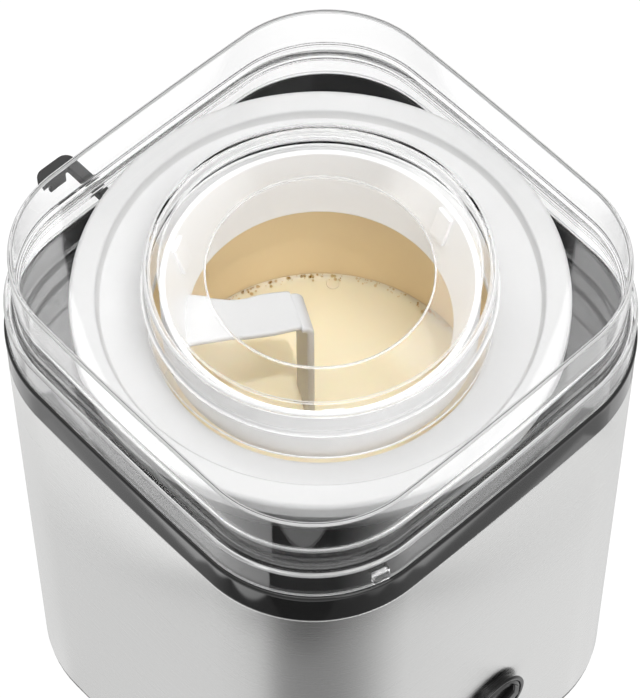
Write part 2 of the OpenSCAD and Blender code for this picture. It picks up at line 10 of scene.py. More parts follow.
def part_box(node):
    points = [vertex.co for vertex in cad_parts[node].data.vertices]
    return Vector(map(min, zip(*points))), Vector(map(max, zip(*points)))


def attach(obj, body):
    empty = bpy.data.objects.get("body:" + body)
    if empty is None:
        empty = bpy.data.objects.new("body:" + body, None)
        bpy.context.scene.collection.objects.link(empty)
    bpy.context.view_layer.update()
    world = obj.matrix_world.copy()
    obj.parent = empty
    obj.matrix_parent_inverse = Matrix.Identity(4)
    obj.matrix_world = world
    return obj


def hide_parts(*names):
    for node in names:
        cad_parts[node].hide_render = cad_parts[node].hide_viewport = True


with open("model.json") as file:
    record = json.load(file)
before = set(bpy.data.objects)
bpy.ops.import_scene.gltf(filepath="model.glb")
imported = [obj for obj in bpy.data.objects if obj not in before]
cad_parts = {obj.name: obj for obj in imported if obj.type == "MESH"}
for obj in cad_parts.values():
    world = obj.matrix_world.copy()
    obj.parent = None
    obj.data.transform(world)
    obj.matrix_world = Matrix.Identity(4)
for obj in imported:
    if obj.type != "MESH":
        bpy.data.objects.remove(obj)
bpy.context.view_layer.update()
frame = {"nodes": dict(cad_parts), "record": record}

mm = 0.001
scene = bpy.context.scene
print("frame loaded:", len(frame["nodes"]), "nodes")


def cornersOf(node):
    # lowest and highest corner of a CAD node, in millimetres
    low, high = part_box(node)
    return np.array(low) / mm, np.array(high) / mm


sleeveLow, sleeveHigh = cornersOf("steel_sleeve")
deckZ = cornersOf("top_frame")[1][2]
rimLow, rimHigh = cornersOf("bowl_rim")
lidHigh = cornersOf("lid")[1]
jacketLow, jacketHigh = cornersOf("bowl_jacket")
linerLow, linerHigh = cornersOf("bowl_liner")
paddleLow = cornersOf("paddle")[0]
axisY = (sleeveLow[1] + sleeveHigh[1]) / 2

body = {
    "half": (sleeveHigh[0] - sleeveLow[0]) / 2,
    "cornerCentre": 47.0,     # from the axis to the centre of a corner's arc, along X and Y
    "bow": 0.5,               # how far the middle of a side stands proud of its ends
    "cornerReach": 46.0,      # from a corner's centre out to the line that sets the columns' rays
    "flatSteps": 12,
    "cornerSteps": 32,
}


def softProfile(corners):
    # a closed section from (x, z, fillet) or (x, z, fillet, weight) corners: each corner
    # becomes a parabola tangent to both edges, (1-t)^2 start + 2t(1-t) corner + t^2 end,
    # with one more point just past each end so that the flat beside it stays flat
    arcSteps, support = 4, 0.35      # cells in an arc, and how far past it the next point is
    mostArc, mostFlat, leastAngle = 0.42, 0.48, 0.05     # shares of an edge, and radians
    table = np.array([(*c, 1.0) if len(c) == 3 else c for c in corners], float)
    point, fillet, weight = table[:, :2], table[:, 2], table[:, 3]
    back = np.roll(point, 1, 0) - point
    ahead = np.roll(point, -1, 0) - point
    backLength = np.linalg.norm(back, axis=1)
    aheadLength = np.linalg.norm(ahead, axis=1)
    back, ahead = back / backLength[:, None], ahead / aheadLength[:, None]
    halfAngle = np.arccos(np.clip((back * ahead).sum(1), -1, 1)) / 2
    reach = np.minimum(fillet / np.tan(np.maximum(halfAngle, leastAngle)),
                       mostArc * np.minimum(backLength, aheadLength))
    t = np.linspace(0, 1, arcSteps + 1)[None, :, None]
    start = (point + back * reach[:, None])[:, None]
    end = (point + ahead * reach[:, None])[:, None]
    arc = (1 - t) ** 2 * start + 2 * t * (1 - t) * point[:, None] + t ** 2 * end
    backMore = np.clip(mostFlat * backLength - reach, 0, support)[:, None, None] * back[:, None]
    aheadMore = np.clip(mostFlat * aheadLength - reach, 0, support)[:, None, None] * ahead[:, None]
    rows = np.concatenate([start + backMore, arc, end + aheadMore], axis=1)
    weights = np.repeat(weight[:, None, None], rows.shape[1], axis=1)
    return np.concatenate([rows, weights], axis=2).reshape(-1, 3)


def bodyTurn():
    # one turn round the body's outline: the path of the corner's centre, the direction
    # outwards from it, the share by which a side has fallen back from its middle (t squared
    # along a side, 1 round a corner) and the direction from the axis
    c = body["cornerCentre"]
    t = np.linspace(-1, 1, body["flatSteps"], endpoint=False)
    a = np.linspace(0, math.pi / 2, body["cornerSteps"], endpoint=False)
    centre = np.concatenate([np.stack([t * 0 + c, t * c], 1), np.full((len(a), 2), c)])
    out = np.concatenate([np.stack([t * 0 + 1, t * 0], 1), np.stack([np.cos(a), np.sin(a)], 1)])
    quarter = [np.array([[1, 0], [0, 1]]), np.array([[0, 1], [-1, 0]]),
               np.array([[-1, 0], [0, -1]]), np.array([[0, -1], [1, 0]])]
    centre = np.concatenate([centre @ q for q in quarter])
    out = np.concatenate([out @ q for q in quarter])
    fall = np.tile(np.concatenate([t ** 2, a * 0 + 1]), 4)
    ray = centre + out * body["cornerReach"]
    return centre, out, fall, ray / np.linalg.norm(ray, axis=1)[:, None]


def roundTurn(steps):
    # one turn round a circle, in the same terms as bodyTurn
    a = np.linspace(0, 2 * math.pi, steps, endpoint=False)
    ray = np.stack([np.cos(a), np.sin(a)], 1)
    return ray * 0, ray, a * 0, ray


def carriedRound(profile, turn):
    # a section (x, z, weight) carried round the axis: weight 0 keeps to the body's outline,
    # centre + (x - cornerCentre - bow * fall) * out, weight 1 is the circle x * ray
    centre, out, fall, ray = turn
    x, z, w = (profile[:, i][:, None, None] for i in range(3))
    square = centre + (x - body["cornerCentre"] - (body["bow"] * fall)[:, None]) * out
    flat = (1 - w) * square + w * x * ray
    height = np.broadcast_to(z, flat.shape[:2] + (1,))
    return np.concatenate([flat, height], axis=2) + np.array([0, axisY, 0])


def gridFaces(rows, columns, closeRows, closeColumns):
    # four corners of every cell of a grid, turning from column to column and then up a row
    r = np.arange(rows if closeRows else rows - 1)[:, None]
    c = np.arange(columns if closeColumns else columns - 1)[None, :]
    r1, c1 = (r + 1) % rows, (c + 1) % columns
    return np.stack([r * columns + c, r * columns + c1, r1 * columns + c1, r1 * columns + c],
                    axis=-1).reshape(-1, 4), (r, c)


def meshFromGrids(name, grids):
    # each grid is (points, closeRows, closeColumns); the UV map is the distance along the
    # columns and the rows, in metres
    points, faces, uvs, base = [], [], [], 0
    for grid, closeRows, closeColumns in grids:
        rows, columns = grid.shape[:2]
        cells, (r, c) = gridFaces(rows, columns, closeRows, closeColumns)
        across = np.linalg.norm(np.diff(np.concatenate([grid, grid[:, :1]], 1), axis=1), axis=2)
        along = np.linalg.norm(np.diff(np.concatenate([grid, grid[:1]], 0), axis=0), axis=2)
        u = np.concatenate([[0], np.cumsum(across.max(0))]) * mm
        v = np.concatenate([[0], np.cumsum(along.max(1))]) * mm
        shape = np.broadcast_shapes(r.shape, c.shape)
        left, right = (np.broadcast_to(u[k], shape).ravel() for k in (c, c + 1))
        low, high = (np.broadcast_to(v[k], shape).ravel() for k in (r, r + 1))
        uvs.append(np.stack([left, low, right, low, right, high, left, high], 1).reshape(-1, 2))
        points.append(grid.reshape(-1, 3))
        faces.append(cells + base)
        base += rows * columns
    points, faces, uvs = np.concatenate(points) * mm, np.concatenate(faces), np.concatenate(uvs)
    mesh = bpy.data.meshes.new(name)
    mesh.vertices.add(len(points))
    mesh.vertices.foreach_set("co", points.ravel())
    mesh.loops.add(faces.size)
    mesh.loops.foreach_set("vertex_index", faces.ravel())
    mesh.polygons.add(len(faces))
    mesh.polygons.foreach_set("loop_start", np.arange(0, faces.size, 4))
    mesh.polygons.foreach_set("use_smooth", np.ones(len(faces), bool))
    mesh.update()
    layer = mesh.uv_layers.new(name="UVMap")
    layer.data.foreach_set("uv", uvs.ravel())
    mesh.validate()
    return mesh


pole = 0.01        # radius at which a section stops beside its axis


def closePoles(mesh):
    # joins the points that lie together on an axis, so that the poles are closed
    nearest = 0.001 * mm
    work = bmesh.new()
    work.from_mesh(mesh)
    bmesh.ops.remove_doubles(work, verts=work.verts, dist=nearest)
    work.to_mesh(mesh)
    work.free()


def addPiece(name, mesh, bodyName, slot, replaced=(), material=None):
    # the slot's own finish, unless another material is given
    piece = bpy.data.objects.new(name, mesh)
    scene.collection.objects.link(piece)
    mesh.materials.append(material or finishes[slot])
    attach(piece, bodyName)
    if replaced:
        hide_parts(*replaced)
    return piece


def addGrids(name, grids, *riding):
    # a piece made of grids; riding is what addPiece takes after the mesh
    mesh = meshFromGrids(name, grids)
    closePoles(mesh)
    addPiece(name, mesh, *riding)


def addCarried(name, section, turn, *riding):
    # a section carried round the body's outline or turned about the bowl's axis
    addGrids(name, [(carriedRound(section, turn), True, True)], *riding)


def hexColor(code):
    # sRGB to linear: c / 12.92 up to 0.04045, and ((c + 0.055) / 1.055) ^ 2.4 above it
    c = np.array([int(code[i:i + 2], 16) for i in (1, 3, 5)]) / 255
    linear = np.where(c <= 0.04045, c / 12.92, ((c + 0.055) / 1.055) ** 2.4)
    return (*linear.tolist(), 1.0)


def addNode(tree, kind, sockets={}, links={}, **settings):
    # a node with its settings, the values of its sockets, and what is linked into it
    node = tree.nodes.new(kind)
    for key, value in settings.items():
        setattr(node, key, value)
    for key, value in sockets.items():
        node.inputs[key].default_value = value
    for key, source in links.items():
        tree.links.new(source, node.inputs[key])
    return node


def newFinish(name, sockets):
    # a Principled surface on its own; patterns are linked into it afterwards
    material = bpy.data.materials.new(name)
    material.use_nodes = True
    tree = material.node_tree
    tree.nodes.clear()
    shader = addNode(tree, "ShaderNodeBsdfPrincipled", sockets)
    end = addNode(tree, "ShaderNodeOutputMaterial", links={"Surface": shader.outputs[0]})
    return material, tree, shader, end


def addGrain(tree, shader, size, strength, depth, stretch=(1, 1, 1), detail=3.0):
    # a fine relief: noise with grains of the given size in millimetres
    place = addNode(tree, "ShaderNodeTexCoord")
    spread = addNode(tree, "ShaderNodeMapping", {"Scale": [s / (size * mm) for s in stretch]},
                     {"Vector": place.outputs["Object"]})
    noise = addNode(tree, "ShaderNodeTexNoise", {"Scale": 1.0, "Detail": detail},
                    {"Vector": spread.outputs[0]})
    bump = addNode(tree, "ShaderNodeBump", {"Strength": strength, "Distance": depth * mm},
                   {"Height": noise.outputs[0]})
    tree.links.new(bump.outputs[0], shader.inputs["Normal"])


def mouldedPlastic(name, color, roughness, size=0.5, strength=0.12):
    # injection-moulded plastic: an even colour, the mould's fine spark-eroded grain and a
    # slight change of gloss where the flow met
    material, tree, shader, _ = newFinish(name, {"Base Color": hexColor(color), "IOR": 1.5})
    addGrain(tree, shader, size, strength, 0.05)
    place = addNode(tree, "ShaderNodeTexCoord")
    cloud = addNode(tree, "ShaderNodeTexNoise", {"Scale": 25.0, "Detail": 2.0},
                    {"Vector": place.outputs["Object"]})
    gloss = addNode(tree, "ShaderNodeMapRange",
                    {"To Min": roughness * 0.85, "To Max": roughness * 1.15},
                    {"Value": cloud.outputs[0]})
    tree.links.new(gloss.outputs[0], shader.inputs["Roughness"])
    return material


def turnedMetal(name, color, roughness):
    # ground or plated steel and bronze: metallic, with fine turning marks
    material, tree, shader, _ = newFinish(name, {
        "Base Color": hexColor(color), "Metallic": 1.0, "Roughness": roughness})
    addGrain(tree, shader, 0.3, 0.1, 0.02, (0.2, 0.2, 1))
    return material


def brushedSteel():
    # stainless sheet, belt brushed along the horizontal: the scratches spread a reflection
    # up and down, so it smears into upright bands. Real scratches lie about 0.05 mm apart;
    # these are drawn at a third of a millimetre so that they show
    material, tree, shader, _ = newFinish("brushedStainless", {
        "Metallic": 1.0, "Anisotropic": 0.95})
    place = addNode(tree, "ShaderNodeTexCoord")
    spread = addNode(tree, "ShaderNodeMapping", {"Scale": (22, 22, 3000)},
                     {"Vector": place.outputs["Object"]})
    scratch = addNode(tree, "ShaderNodeTexNoise", {"Scale": 1.0, "Detail": 4.0, "Roughness": 0.6},
                      {"Vector": spread.outputs[0]})
    rough = addNode(tree, "ShaderNodeMapRange", {"From Min": 0.3, "From Max": 0.7,
                                                 "To Min": 0.24, "To Max": 0.28},
                    {"Value": scratch.outputs[0]})
    tone = addNode(tree, "ShaderNodeValToRGB", links={"Fac": scratch.outputs[0]})
    tone.color_ramp.elements[0].position = 0.3
    tone.color_ramp.elements[0].color = hexColor("#DEDEDD")
    tone.color_ramp.elements[1].position = 0.7
    tone.color_ramp.elements[1].color = hexColor("#DFDFDE")
    bump = addNode(tree, "ShaderNodeBump", {"Strength": 0.006, "Distance": 0.02 * mm},
                   {"Height": scratch.outputs[0]})
    along = addNode(tree, "ShaderNodeTangent", direction_type="UV_MAP", uv_map="UVMap")
    tree.links.new(rough.outputs[0], shader.inputs["Roughness"])
    tree.links.new(tone.outputs[0], shader.inputs["Base Color"])
    tree.links.new(bump.outputs[0], shader.inputs["Normal"])
    tree.links.new(along.outputs[0], shader.inputs["Tangent"])
    return material


def clearStyrene():
    # polished moulded styrene: clear through the faces, with a shallow waviness from the
    # mould. The rounded edges (the "edge" share of the mesh) carry a painted highlight: they are
    # mixed towards an opaque white matt surface. Lamps shine through it, so what stands under it is
    # lit
    material, tree, shader, end = newFinish("clearStyrene", {
        "Base Color": hexColor("#FFFFFF"), "Transmission Weight": 1.0, "Roughness": 0.0,
        "IOR": 1.3})
    addGrain(tree, shader, 18, 0.05, 0.15, detail=0.0)
    # painted highlight: an opaque white matt surface, mixed in by the "edge" share
    paintedEdgeHighlight = addNode(tree, "ShaderNodeBsdfPrincipled", {
        "Base Color": hexColor("#FFFFFF"), "Roughness": 0.35, "IOR": 1.5})
    edge = addNode(tree, "ShaderNodeAttribute", attribute_name="edge")
    face = addNode(tree, "ShaderNodeMixShader", links={
        0: edge.outputs["Fac"], 1: shader.outputs[0], 2: paintedEdgeHighlight.outputs[0]})
    light = addNode(tree, "ShaderNodeLightPath")
    through = addNode(tree, "ShaderNodeBsdfTransparent", {"Color": (0.96, 0.96, 0.96, 1)})
    mix = addNode(tree, "ShaderNodeMixShader", links={0: light.outputs["Is Shadow Ray"],
                                                      1: face.outputs[0],
                                                      2: through.outputs[0]})
    tree.links.new(mix.outputs[0], end.inputs["Surface"])
    return material


def filmedAluminium():
    # anodised aluminium under a film of the churned mix, which hides the metal: a satin tan
    material, tree, shader, _ = newFinish("filmedAluminium", {
        "Base Color": hexColor("#F8E4BE"), "Roughness": 0.4,
        "Coat Weight": 0.15, "Coat Roughness": 0.2})
    addGrain(tree, shader, 5, 0.08, 0.1, (1, 1, 0.4))
    return material


def churnedMix():
    # egg custard before it freezes: an opaque warm cream with a wet, slightly dimpled skin
    material, tree, shader, _ = newFinish("churnedMix", {
        "Base Color": hexColor("#FFF4D8"), "Roughness": 0.3, "IOR": 1.36,
        "Subsurface Weight": 0.25, "Subsurface Radius": (0.006, 0.004, 0.002),
        "Subsurface Scale": 1.0})
    addGrain(tree, shader, 9, 0.1, 0.3)
    return material


def rimPlastic():
    # the rim's inner slope carries painted light: it is a shade paler than the land, to lift the
    # shade of its tilt and of the bowl's hollow; the change follows the distance from the axis,
    # sqrt(x^2 + y^2), in metres
    slopeEnd, landStart = 0.0815, 0.0835
    material = mouldedPlastic("rimWhiteAbs", "#D2D2D2", 0.4, strength=0.06)
    tree = material.node_tree
    place = addNode(tree, "ShaderNodeTexCoord")
    level = addNode(tree, "ShaderNodeVectorMath", {1: (1, 1, 0)}, {0: place.outputs["Object"]},
                    operation="MULTIPLY")
    centred = addNode(tree, "ShaderNodeVectorMath", {1: (0, axisY * mm, 0)},
                      {0: level.outputs[0]}, operation="SUBTRACT")
    radius = addNode(tree, "ShaderNodeVectorMath", links={0: centred.outputs[0]},
                     operation="LENGTH")
    outside = addNode(tree, "ShaderNodeMapRange", {"From Min": slopeEnd, "From Max": landStart},
                      {"Value": radius.outputs["Value"]})
    # painted light: #EFEFEF on the slope, against #D2D2D2 on the land
    paintedSlopeLight = addNode(tree, "ShaderNodeValToRGB", links={"Fac": outside.outputs[0]})
    paintedSlopeLight.color_ramp.elements[0].color = hexColor("#EFEFEF")
    paintedSlopeLight.color_ramp.elements[1].color = hexColor("#D2D2D2")
    shader = next(n for n in tree.nodes if n.type == "BSDF_PRINCIPLED")
    tree.links.new(paintedSlopeLight.outputs[0], shader.inputs["Base Color"])
    return material


finishes = {
    "brushed_stainless": brushedSteel(),
    "black_moulding": mouldedPlastic("satinBlackAbs", "#232323", 0.04, strength=0.01),
    "black_gloss": mouldedPlastic("glossBlackAbs", "#101010", 0.22, strength=0.03),
    "foot_rubber": mouldedPlastic("nitrileRubber", "#2A2A2A", 0.75),
    "zinc_screw": turnedMetal("zincPlatedSteel", "#B9BCC2", 0.3),
    "switch_body": mouldedPlastic("phenolicSwitch", "#26262A", 0.5),
    "gearbox_moulding": mouldedPlastic("glassFilledNylon", "#B4B4AE", 0.5, size=0.9),
    "bush_bronze": turnedMetal("sinteredBronze", "#A98549", 0.45),
    "shaft_steel": turnedMetal("groundSteel", "#B4B4B8", 0.22),
    "motor_steel": turnedMetal("platedCan", "#A0A3A8", 0.34),
    "motor_winding": mouldedPlastic("lacqueredWinding", "#8A4A20", 0.35, size=0.8, strength=0.5),
    "gear_nylon": mouldedPlastic("naturalNylon", "#E6E2D0", 0.45),
    "hub_plastic": mouldedPlastic("acetal", "#DADADA", 0.4),
    "white_moulding": mouldedPlastic("satinWhiteAbs", "#D9D9D9", 0.36, strength=0.06),
    "white_gloss": mouldedPlastic("whitePolypropylene", "#F5F5F5", 0.4, strength=0.05),
    "liner_aluminium": filmedAluminium(),
    "freezing_liquid": mouldedPlastic("freezingLiquid", "#BFD8EA", 0.2),
    "clear_moulding": clearStyrene(),
}

rimFinish = rimPlastic()
# painted shade: the arm and blade are the collar's white polypropylene, painted darker than its
# #F5F5F5 so that the arm's level top, which catches more light, matches the collar
armPaintedShade = mouldedPlastic("paddleWhitePaintedShade", "#D0D0D0", 0.42, strength=0.05)
mixFinish = churnedMix()
# a wet film round air: clear, a little tan, with the weak bending of a thin shell
bubbleFilm = newFinish("bubbleFilm", {"Base Color": hexColor("#E6CFA2"), "Roughness": 0.0,
                                      "IOR": 1.25, "Transmission Weight": 1.0})[0]

slotOf = {part["node"]: part["material_slot"] for part in frame["record"]["subparts"]}
for nodeName, node in frame["nodes"].items():
    for held in node.material_slots:
        held.material = finishes[slotOf[nodeName]]
print("materials made:", len(finishes))


shell = {
    "sheet": 1.0,           # thickness of the steel
    "wall": 2.5,            # wall of the black mouldings
    "deck": 3.0,
    "lip": 8.0,             # lip of the black frame inside the sleeve
    "lipGap": 0.1,          # between that lip and the sleeve
    "hole": 89.0,           # radius of the hole for the bowl
    "edge": 1.2,            # fillet on the frame's outer edges
}
half, bandLow = body["half"], sleeveHigh[2]
bodyOutline = bodyTurn()

sleeve = softProfile([
    (half, sleeveLow[2], 0.3, 0), (half, bandLow, 0.3, 0),
    (half - shell["sheet"], bandLow, 0.3, 0), (half - shell["sheet"], sleeveLow[2], 0.3, 0)])
addCarried("steelSleeve", sleeve, bodyOutline, "machine", "brushed_stainless", ["steel_sleeve"])

inner = half - shell["sheet"] - shell["wall"]
lipOut = half - shell["sheet"] - shell["lipGap"]
topFrame = softProfile([
    (half, bandLow, 0.5, 0), (half, deckZ, shell["edge"], 0),
    (shell["hole"], deckZ, 0.8, 1), (shell["hole"], deckZ - shell["deck"], 0.3, 1),
    (inner, deckZ - shell["deck"], 0.5, 0), (inner, bandLow - shell["lip"], 0.3, 0),
    (lipOut, bandLow - shell["lip"], 0.3, 0), (lipOut, bandLow, 0.1, 0)])
addCarried("topFrame", topFrame, bodyOutline, "machine", "black_moulding", ["top_frame"])
print("body shell made")


bowl = {
    "wall": 2.0,
    "outer": (jacketHigh[0] - jacketLow[0]) / 2,
    "rim": (rimHigh[0] - rimLow[0]) / 2,
    "rimLift": 1.4,          # how far the crowned rim stands above the solid's
    "edgeHeight": 6.8,
    "overJacket": 2.1,       # how far the rim's foot reaches in over the jacket's wall
    "landWidth": 9.7,        # flat land round the outside of the rim
    "mixBelowDeck": 63.0,
    "mixSideGap": 0.15, "mixFloorGap": 0.1,
    "meniscus": 1.6,         # rise of the mix at the wall
    "meniscusFade": 1.5, "meniscusWidth": 8.0,
}
mouth = (linerHigh[0] - linerLow[0]) / 2 - bowl["wall"]
top = rimHigh[2] + bowl["rimLift"]
landIn, edgeLow = bowl["rim"] - bowl["landWidth"], top - bowl["edgeHeight"]
footIn = bowl["outer"] - bowl["overJacket"]
rim = softProfile([
    (mouth, deckZ + 0.1, 0.3), (mouth, deckZ + 3.2, 1.2), (mouth + 2, deckZ + 5, 1.5),
    (landIn - 1.5, top - 3.0, 1.2), (landIn, top, 1.0), (bowl["rim"], top, 1.6),
    (bowl["rim"], edgeLow, 0.4), (footIn, edgeLow, 0.4),
    (footIn, deckZ + 6, 0.4), (bowl["outer"] - 4, deckZ + 6, 0.4),
    (mouth + 2.1, deckZ + 1, 0.3), (mouth + 2.1, deckZ + 0.1, 0.3)])
addCarried("bowlRim", rim, roundTurn(256), "bowl", "white_moulding", ["bowl_rim"], rimFinish)

liner = softProfile([
    (mouth, deckZ, 0.2), (mouth + bowl["wall"], deckZ, 0.2),
    (mouth + bowl["wall"], linerLow[2], 3), (pole, linerLow[2], 0.0),
    (pole, linerLow[2] + bowl["wall"], 0.0), (mouth, linerLow[2] + bowl["wall"], 2.5)][::-1])
addCarried("bowlLiner", liner, roundTurn(200), "bowl", "liner_aluminium", ["bowl_liner"])

jacket = softProfile([
    (bowl["outer"], jacketHigh[2], 0.3), (bowl["outer"] - bowl["wall"], jacketHigh[2], 0.3),
    (bowl["outer"] - bowl["wall"], jacketLow[2] + bowl["wall"], 2),
    (pole, jacketLow[2] + bowl["wall"], 0.0), (pole, jacketLow[2], 0.0),
    (bowl["outer"], jacketLow[2], 4)])
addCarried("bowlJacket", jacket, roundTurn(200), "bowl", "white_moulding", ["bowl_jacket"])

mixTop, mixEdge = deckZ - bowl["mixBelowDeck"], mouth - bowl["mixSideGap"]
mixLow = linerLow[2] + bowl["wall"] + bowl["mixFloorGap"]


def mixHeight(r):
    # level in the middle, drawn up the wall over the last few millimetres:
    # height = meniscus * exp(-(edge - r) / fade)
    return mixTop + bowl["meniscus"] * np.exp(-(mixEdge - r) / bowl["meniscusFade"])


# a few points where the mix is level, and closer and closer ones up to the wall
levelEnd = mixEdge - bowl["meniscusWidth"]
r = np.concatenate([np.linspace(0, levelEnd, 8),
                    mixEdge - bowl["meniscusWidth"] * np.linspace(1, 0, 14)[1:] ** 1.5])
mixSection = np.concatenate([
    np.stack([np.linspace(0, mixEdge, 4), np.full(4, mixLow), np.ones(4)], 1),
    np.stack([r, mixHeight(r), np.ones(len(r))], 1)[::-1]])
addCarried("churnedMix", mixSection, roundTurn(160), "bowl", "liner_aluminium", [], mixFinish)

# bubbles where the mix meets the wall, half sunk: a seeded scatter from the right to the back
bubbles = {"from": -8.0, "to": 84.0, "count": 120, "small": 0.25, "large": 0.75,
           "stray": 2.2,        # how far from the wall the last ones float
           "ring": (42.3, 60.2, 2.5, 0.3)}
chance = np.random.default_rng(7)
dome = carriedRound(np.array([[math.cos(q), math.sin(q), 1.0] for q in
                              np.linspace(-math.pi / 2, math.pi / 2, 7)]), roundTurn(12))
dome = dome - np.array([0, axisY, 0])
bubbleGrids = []
for k in range(bubbles["count"]):
    size = bubbles["small"] + (bubbles["large"] - bubbles["small"]) * chance.random() ** 2
    turn = math.radians(chance.uniform(bubbles["from"], bubbles["to"]))
    out = mixEdge - size - bubbles["stray"] * chance.random() ** 3
    place = np.array([out * math.cos(turn), axisY + out * math.sin(turn), mixHeight(out)])
    bubbleGrids.append((dome * size + place, False, True))
addGrids("mixBubbles", bubbleGrids, "bowl", "liner_aluminium", [], bubbleFilm)
# and the rim that one large bubble leaves on the surface
turn, out, size, thick = bubbles["ring"]
q = np.linspace(0, 2 * math.pi, 12, endpoint=False)
ringSection = np.stack([size + thick * np.cos(q), mixTop + thick * np.sin(q), q * 0 + 1], 1)
ring = carriedRound(ringSection, roundTurn(40)) + np.array(
    [out * math.cos(math.radians(turn)), out * math.sin(math.radians(turn)), 0])
addGrids("mixRing", [(ring, True, True)], "bowl", "liner_aluminium", [], mixFinish)
print("bowl made")


paddle = {
    "collar": 59.5, "collarTop": 28.0, "opening": 50.0,
    "blade": 3.0, "bladeBevel": 0.8,
    "near": [(-48.0, 26.5), (-43.7, 23.8), (-31.5, 16.1), (-18.9, 7.6), (-9.0, 2.0)],
    "far": [(-32.5, 45.0), (-28.4, 40.5), (-18.0, 28.3), (-8.0, 22.6), (-1.0, 17.6)],
    "end": (-1.8, 6.6), "endWidth": 17.5, "turn": 62.5, "bend": 3.5,
    "wingHeight": 14.0, "scraperHeight": 48.0, "scraperWidth": 9.0, "scraperGap": 1.0,
}
collar, opening, collarTop = paddle["collar"], paddle["opening"], deckZ + paddle["collarTop"]
collarSection = softProfile([
    (collar, deckZ, 0.4), (collar, collarTop, 0.8), (collar - 2.2, collarTop, 0.8),
    (opening + 1.2, deckZ + 4, 6.0), (opening, deckZ, 0.7),
    (opening + 2.5, deckZ, 0.3), (collar - 2, collarTop - 6, 0.5), (collar - 2, deckZ, 0.3)])
addCarried("paddleCollar", collarSection, roundTurn(200), "paddle", "white_gloss", ["paddle"])

turnAngle = math.radians(paddle["turn"])
side = np.array([math.cos(turnAngle), math.sin(turnAngle)])         # along the blade's width
onward = np.array([math.sin(turnAngle), -math.cos(turnAngle)])      # out of the blade's face


def throughPoints(points, steps):
    # a smooth line through points: between each pair, the cubic whose ends point along the
    # chord of the neighbours
    p = np.array(points, float)
    p = np.concatenate([2 * p[:1] - p[1:2], p, 2 * p[-1:] - p[-2:-1]])
    t = np.linspace(0, 1, steps, endpoint=False)[:, None, None]
    a, b, c, d = p[:-3], p[1:-2], p[2:-1], p[3:]
    curve = 0.5 * (2 * b + (c - a) * t + (2 * a - 5 * b + 4 * c - d) * t ** 2
                   + (3 * b - a - 3 * c + d) * t ** 3)
    return np.concatenate([curve.transpose(1, 0, 2).reshape(-1, p.shape[1]), p[-2:-1]])


bendStart = np.array(paddle["end"]) - onward * paddle["bend"]
nearEnd = bendStart - side * paddle["endWidth"] / 2
farEnd = bendStart + side * paddle["endWidth"] / 2
near = throughPoints(paddle["near"] + [tuple(nearEnd)], 6)
far = throughPoints(paddle["far"] + [tuple(farEnd)], 6)
midHeight = deckZ + paddle["blade"] / 2
angle = np.linspace(0, math.pi / 2, 7)[1:]
bendOut = paddle["bend"] * np.sin(angle)
bendDown = paddle["bend"] * (1 - np.cos(angle))
bladeLow = paddleLow[2]
downSteps = np.linspace(midHeight - paddle["bend"], bladeLow, 12)[1:]
middle = np.concatenate([
    np.concatenate([(near + far) / 2, np.full((len(near), 1), midHeight)], 1),
    np.concatenate([bendStart + bendOut[:, None] * onward, (midHeight - bendDown)[:, None]], 1),
    np.concatenate([np.tile(bendStart + paddle["bend"] * onward, (len(downSteps), 1)),
                    downSteps[:, None]], 1)])
acrossWay = np.concatenate([far - near, np.tile(side * paddle["endWidth"],
                                                (len(angle) + len(downSteps), 1))])
halfWidth = np.linalg.norm(acrossWay, axis=1) / 2
acrossWay = acrossWay / (2 * halfWidth[:, None])
tilt = np.concatenate([near[:, 0] * 0, angle, downSteps * 0 + math.pi / 2])
upWay = np.concatenate([np.sin(tilt)[:, None] * np.broadcast_to(onward, (len(tilt), 2)),
                        np.cos(tilt)[:, None]], 1)
# the section is a rounded oblong: a straight run with an elliptic end on each side
q = np.linspace(0, 2 * math.pi, 32, endpoint=False)
roundness = 1.3
edge = halfWidth[:, None] - roundness
acrossShare = np.sign(np.cos(q)) * edge + roundness * np.cos(q)[None, :]
upShare = (np.sign(np.sin(q)) * (paddle["blade"] / 2 - roundness) + roundness * np.sin(q))[None, :]
acrossAll = np.concatenate([acrossWay, np.zeros((len(acrossWay), 1))], 1)
armGrid = (middle[:, None] + acrossShare[:, :, None] * acrossAll[:, None]
           + upShare[:, :, None] * upWay[:, None]) + np.array([0, axisY, 0])
armGrid = np.concatenate([armGrid[:1] * 0 + armGrid[:1].mean(1, keepdims=True), armGrid,
                          armGrid[-1:] * 0 + armGrid[-1:].mean(1, keepdims=True)])
addGrids("paddleArm", [(armGrid, False, True)], "paddle", "white_gloss", [], armPaintedShade)


def addPlate(name, outline, centre, alongWay, upDirection, thickness, bevel, *riding):
    # a flat outline in the plane of two directions, given a thickness about that plane and
    # rounded edges; riding is what addPiece takes after the mesh
    points = np.array(outline, float)
    alongWay, upDirection = np.array(alongWay, float), np.array(upDirection, float)
    through = np.cross(alongWay, upDirection)
    flat = np.array(centre) + points[:, :1] * alongWay + points[:, 1:] * upDirection
    count = len(points)
    both = np.concatenate([flat - through * thickness / 2, flat + through * thickness / 2]) * mm
    ring = list(range(count))
    faces = [ring[::-1], [count + k for k in ring]]
    faces += [[k, (k + 1) % count, count + (k + 1) % count, count + k] for k in ring]
    mesh = bpy.data.meshes.new(name)
    mesh.from_pydata(both.tolist(), [], faces)
    mesh.update()
    work = bmesh.new()
    work.from_mesh(mesh)
    bmesh.ops.recalc_face_normals(work, faces=work.faces)
    work.to_mesh(mesh)
    work.free()
    mesh.shade_smooth()
    piece = addPiece(name, mesh, *riding)
    edge = piece.modifiers.new("roundedEdge", "BEVEL")
    edge.width, edge.segments, edge.limit_method = bevel * mm, 3, "ANGLE"
    edge.angle_limit = math.radians(35)
    normals = piece.modifiers.new("evenShading", "WEIGHTED_NORMAL")
    normals.keep_sharp = False


def oblong(width, height):
    # the outline of a rectangle about its centre
    w, h = width / 2, height / 2
    return [(-w, -h), (w, -h), (w, h), (-w, h)]


